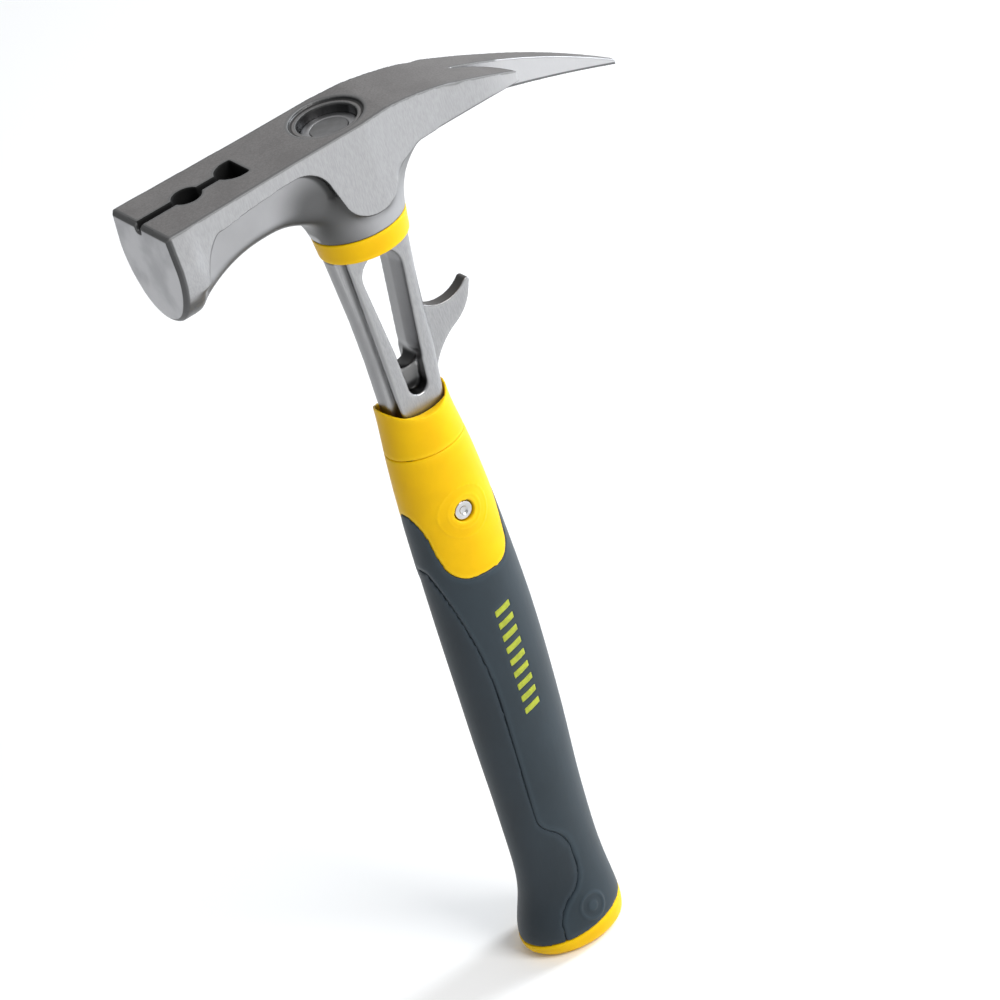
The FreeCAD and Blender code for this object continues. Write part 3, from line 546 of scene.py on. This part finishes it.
def mark_green():
    """Inlaid yellow-green bars: satin, a little uneven."""
    r = Recipe("inlaid_green_marks")
    cloud = r.noise(r.stretch(700.0, 700.0, 700.0), 1.0, 3.0, 0.5)
    grain = r.noise(r.stretch(2800.0, 2800.0, 2800.0), 1.0, 2.0, 0.6)
    colour = r.blend(r.span(cloud, 0.3, 0.7), (0.29, 0.33, 0.012, 1.0), (0.38, 0.43, 0.02, 1.0))
    r.set(Base_Color=colour, Roughness=r.sum(r.times(cloud, 0.15), 0.42))
    r.set(Normal=r.bump(grain, 0.00002, 0.4))
    return r.material


STEEL = head_steel()
SHAFT = shaft_steel()
BRIGHT = turned_steel("turned_bright_steel", 0.55, 0.18)
MAGNET = turned_steel("plated_magnet", 0.12, 0.35)
PLUG = turned_steel("dull_plug_steel", 0.24, 0.42)
YELLOW = yellow_nylon()
GRIP = soft_grip("soft_grip_blue_grey", (0.016, 0.026, 0.034, 1.0), (0.021, 0.033, 0.043, 1.0))
PANEL = soft_grip("soft_panel_dark", (0.014, 0.022, 0.029, 1.0), (0.018, 0.028, 0.037, 1.0))
RUBBER = plain_rubber()
WHITE = white_nylon()
GREEN = mark_green()


# ---- Forged steel pieces ----

def make_head():
    head = dense_copy("head", "head_forging", STEEL_VOXEL)

    def under_head(p):
        """The crook under the head, from behind the face to the claw."""
        below = smooth_step(306.5, 303.0, p[:, 2]) * smooth_step(NECK_LOW, NECK_LOW + 2.0, p[:, 2])
        inner = smooth_step(14.0, 13.0, np.abs(p[:, 1]))
        behind_face = smooth_step(-68.5, -65.0, p[:, 0])
        before_claw = smooth_step(62.0, 54.0, p[:, 0])
        return below * inner * behind_face * before_claw

    def web_side(p):
        """Hollow between the neck and the web, under the cheeks' arch."""
        span = smooth_step(-38.0, -30.0, p[:, 0]) * smooth_step(-4.0, -9.0, p[:, 0])
        inner = smooth_step(13.9, 13.0, np.abs(p[:, 1]))
        below = smooth_step(318.0, 314.0, p[:, 2])
        return span * inner * below * smooth_step(289.0, 291.0, p[:, 2])

    def claw_root(p):
        """The underside where the claw leaves the cheeks."""
        below = smooth_step(309.5, 306.5, p[:, 2]) * smooth_step(NECK_LOW, NECK_LOW + 2.0, p[:, 2])
        span = smooth_step(12.0, 16.0, p[:, 0]) * smooth_step(60.0, 50.0, p[:, 0])
        return below * span

    def face_flare(p):
        """Blend from the cheeks into the wider face block."""
        span = smooth_step(-70.5, -68.0, p[:, 0]) * smooth_step(-52.0, -58.0, p[:, 0])
        side = smooth_step(12.8, 14.4, np.abs(p[:, 1]))
        return span * side * smooth_step(324.6, 322.5, p[:, 2])

    def claw_flank(p):
        """Evens out the flanks where the claw starts to taper."""
        span = smooth_step(20.0, 24.0, p[:, 0]) * smooth_step(44.0, 38.0, p[:, 0])
        inside = smooth_step(321.0, 319.0, p[:, 2]) * smooth_step(308.8, 310.0, p[:, 2])
        return span * inside

    def neck_sides(p):
        """The neck below the cheeks, drawn into one smooth round."""
        across = np.abs(p[:, 1])
        under_lobe = np.hypot(p[:, 0] - 1.0, p[:, 2] - 303.0)
        below = np.maximum(smooth_step(14.85, 14.6, across), smooth_step(9.6, 10.6, under_lobe))
        height = smooth_step(NECK_LOW + 0.6, NECK_LOW + 3.0, p[:, 2])
        height = height * smooth_step(306.0, 303.0, p[:, 2])
        span = smooth_step(-36.0, -32.0, p[:, 0]) * smooth_step(34.0, 28.0, p[:, 0])
        return below * height * span * smooth_step(15.2, 14.9, across)

    def all_but_holes(p):
        """Rounds every edge a little, the rims of the holes in the top least."""
        inside = smooth_step(13.8, 13.0, np.abs(p[:, 1])) * smooth_step(316.0, 317.0, p[:, 2])
        span = smooth_step(-71.5, -70.5, p[:, 0]) * smooth_step(14.0, 13.2, p[:, 0])
        return 1.0 - 0.75 * inside * span

    relax(head, 60, claw_root)
    relax(head, 220, neck_sides)
    relax(head, 60, web_side)
    relax(head, 90, under_head)
    relax(head, 90, face_flare)
    relax(head, 60, claw_flank)
    relax(head, 3, all_but_holes)
    return finish_piece(head, "hammer", STEEL, "forged_steel", "head")


def make_shaft():
    shaft = dense_copy("shaft", "shaft_forging", STEEL_VOXEL)

    def window_rim(p):
        """Rim and walls of the window, rounded like a forging's."""
        span = smooth_step(-9.0, -8.4, p[:, 0]) * smooth_step(9.3, 8.2, p[:, 0])
        return span * smooth_step(278.0, 277.0, p[:, 2]) * smooth_step(219.0, 222.0, p[:, 2])

    def front_rail(p):
        """The two rails beside the channel down the front edge."""
        span = smooth_step(-10.0, -10.8, p[:, 0])
        return span * smooth_step(278.5, 276.5, p[:, 2])

    def ridge(p, n):
        """Low parting ridge round the window's walls at mid thickness."""
        wall = smooth_step(0.5, 0.9, np.abs(n[:, 0]))
        wall = wall * smooth_step(8.6, 7.9, np.abs(p[:, 0] + 0.3))
        span = smooth_step(234.0, 238.0, p[:, 2]) * smooth_step(274.0, 270.0, p[:, 2])
        return 0.75 * np.clip(1.0 - np.abs(p[:, 1]) / 6.6, 0.0, 1.0) * wall * span

    relax(shaft, 14, window_rim)
    relax(shaft, 6, front_rail)
    emboss(shaft, ridge)
    relax(shaft, 4)
    return finish_piece(shaft, "hammer", SHAFT, "forged_steel", "shaft")


# ---- Handle pieces ----

def pin_rings(p, n):
    """Two low rings moulded into the sleeve's flanks around the pin."""
    distance = np.hypot(p[:, 0] - PIN_CENTRE_X, p[:, 2] - PIN_CENTRE_Z)
    facing = smooth_step(0.5, 0.8, np.abs(n[:, 1]))
    rings = np.exp(-((distance - 9.2) / 0.45) ** 2) + 0.8 * np.exp(-((distance - 6.0) / 0.4) ** 2)
    return 0.22 * rings * facing


def make_core():
    core = dense_copy("handle_core", "handle_core_moulding", PLASTIC_VOXEL)
    relax(core, 4)
    emboss(core, pin_rings)
    return finish_piece(core, "handle", YELLOW, "yellow_nylon", "handle_core")


def butt_ring(p, n):
    """Raised ring with a dot, moulded into both flanks near the butt."""
    distance = np.hypot(p[:, 0] - BUTT_RING_X, p[:, 2] - BUTT_RING_Z)
    facing = smooth_step(0.4, 0.7, np.abs(n[:, 1])) * smooth_step(10.0, 12.0, np.abs(p[:, 1]))
    ring = np.exp(-((distance - BUTT_RING_RADIUS) / 0.55) ** 2)
    dot = smooth_step(2.3, 1.6, distance)
    return (0.32 * ring + 0.28 * dot) * facing


def make_moulding(node, name, voxel, material, slot, steps):
    piece = dense_copy(node, name, voxel)
    relax(piece, steps)
    body = "hammer" if node == "collar" else "handle"
    return finish_piece(piece, body, material, slot, node)


def make_pin():
    """Pin with rounded rims and a shallow drilled centre in each end."""
    pin = dense_copy("pivot_pin", "pivot_pin_turned", FINE_VOXEL)

    def centre_hole(p, n):
        distance = np.hypot(p[:, 0] - PIN_CENTRE_X, p[:, 2] - PIN_CENTRE_Z)
        facing = smooth_step(0.7, 0.9, np.abs(n[:, 1]))
        return -0.55 * smooth_step(1.9, 0.9, distance) * facing

    relax(pin, 8)
    emboss(pin, centre_hole)
    relax(pin, 2)
    return finish_piece(pin, "handle", BRIGHT, "bright_steel", "pivot_pin")


def make_grip():
    grip = dense_copy("grip", "grip_overmould", GRIP_VOXEL)
    relax(grip, 5)
    emboss(grip, butt_ring)
    return finish_piece(grip, "handle", GRIP, "grip_elastomer", "grip")


make_head()
make_shaft()
make_core()
make_moulding("collar", "collar_moulding", PLASTIC_VOXEL, YELLOW, "yellow_nylon", 4)
make_moulding("sleeve_collar", "sleeve_moulding", PLASTIC_VOXEL, YELLOW, "yellow_nylon", 4)
make_grip()
make_moulding("grip_front_panel", "panel_overmould", GRIP_VOXEL, PANEL, "panel_elastomer", 4)
make_moulding("end_cap", "end_cap_moulding", PLASTIC_VOXEL, YELLOW, "yellow_nylon", 4)
make_pin()
make_moulding("marks_left", "marks_left_inlay", FINE_VOXEL, GREEN, "mark_green", 4)
make_moulding("marks_right", "marks_right_inlay", FINE_VOXEL, GREEN, "mark_green", 4)

KEPT = {
    "eye_plug": PLUG, "bush_sleeve": BRIGHT, "nail_magnet": MAGNET, "pivot_bush": RUBBER,
    "damper_front": RUBBER, "damper_rear": RUBBER, "tail_damper": RUBBER, "mouth_seal": RUBBER,
    "thrust_washer_left": WHITE, "thrust_washer_right": WHITE,
}
for node, material in KEPT.items():
    mesh_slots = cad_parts[node].material_slots
    for entry in mesh_slots:
        entry.material = material


# ---- Studio ----

def make_floor():
    half = 3.0
    mesh = bpy.data.meshes.new("floor")
    corners = [(-half, -half, 0.0), (half, -half, 0.0), (half, half, 0.0), (-half, half, 0.0)]
    mesh.from_pydata(corners, [], [(0, 1, 2, 3)])
    floor = bpy.data.objects.new("floor", mesh)
    bpy.context.collection.objects.link(floor)
    r = Recipe("pale_floor")
    cloud = r.noise(r.stretch(3.0, 3.0, 3.0), 1.0, 2.0, 0.5)
    r.set(Base_Color=r.blend(cloud, grey(0.93), grey(0.94)), Roughness=0.9, Specular_IOR_Level=0.1)
    mesh.materials.append(r.material)


def make_light(name, place, aim, size, power, colour):
    light = bpy.data.lights.new(name, "AREA")
    light.shape = "RECTANGLE"
    light.size, light.size_y = size
    light.energy = power
    light.color = colour
    lamp = bpy.data.objects.new(name, light)
    bpy.context.collection.objects.link(lamp)
    lamp.location = place
    lamp.rotation_euler = (Vector(aim) - Vector(place)).to_track_quat("-Z", "Y").to_euler()


def make_world():
    world = bpy.data.worlds.new("studio")
    world.use_nodes = True
    tree = world.node_tree
    background = tree.nodes["Background"]
    place = tree.nodes.new("ShaderNodeTexCoord")
    split = tree.nodes.new("ShaderNodeSeparateXYZ")
    across = tree.nodes.new("ShaderNodeMapRange")
    tone = tree.nodes.new("ShaderNodeMix")
    tone.data_type = "RGBA"
    across.interpolation_type = "SMOOTHSTEP"
    across.inputs["From Min"].default_value = -0.8
    across.inputs["From Max"].default_value = 0.7
    tree.links.new(place.outputs["Generated"], split.inputs[0])
    tree.links.new(split.outputs["X"], across.inputs["Value"])
    tree.links.new(across.outputs[0], tone.inputs[0])
    tone.inputs[6].default_value = (0.30, 0.31, 0.32, 1.0)
    tone.inputs[7].default_value = (1.0, 1.0, 1.0, 1.0)
    tree.links.new(tone.outputs[2], background.inputs["Color"])
    background.inputs["Strength"].default_value = 0.84
    bpy.context.scene.world = world


def make_camera():
    az, el, roll = VIEW_AZIMUTH, VIEW_ELEVATION, VIEW_ROLL
    toward = Vector((math.sin(az) * math.cos(el), -math.cos(az) * math.cos(el), math.sin(el)))
    level_right = Vector((0.0, 0.0, 1.0)).cross(toward).normalized()
    level_up = toward.cross(level_right)
    right = level_right * math.cos(roll) + level_up * math.sin(roll)
    up = level_up * math.cos(roll) - level_right * math.sin(roll)
    centre = VIEW_TARGET + toward * VIEW_DISTANCE - right * VIEW_SHIFT.x - up * VIEW_SHIFT.y
    data = bpy.data.cameras.new("camera")
    data.sensor_width = SENSOR
    data.lens = LENS
    data.clip_start = 0.05
    data.clip_end = 20.0
    camera = bpy.data.objects.new("camera", data)
    bpy.context.collection.objects.link(camera)
    turn = Matrix((right, up, toward)).transposed().to_4x4()
    camera.matrix_world = Matrix.Translation(centre) @ turn
    bpy.context.scene.camera = camera


make_floor()
make_world()
make_light("key", (0.7, -1.5, 1.5), (0.0, 0.0, 0.2), (1.0, 1.0), 30.0, (1.0, 0.995, 0.98))
make_light("side", (1.3, -0.1, 0.75), (0.0, 0.0, 0.13), (0.35, 1.3), 20.0, (0.90, 0.95, 1.0))
make_light("fill", (-1.2, -1.2, 1.0), (0.0, 0.0, 0.2), (1.0, 1.0), 2.5, (0.97, 0.98, 1.0))
make_camera()
bpy.context.scene.view_settings.view_transform = "Standard"
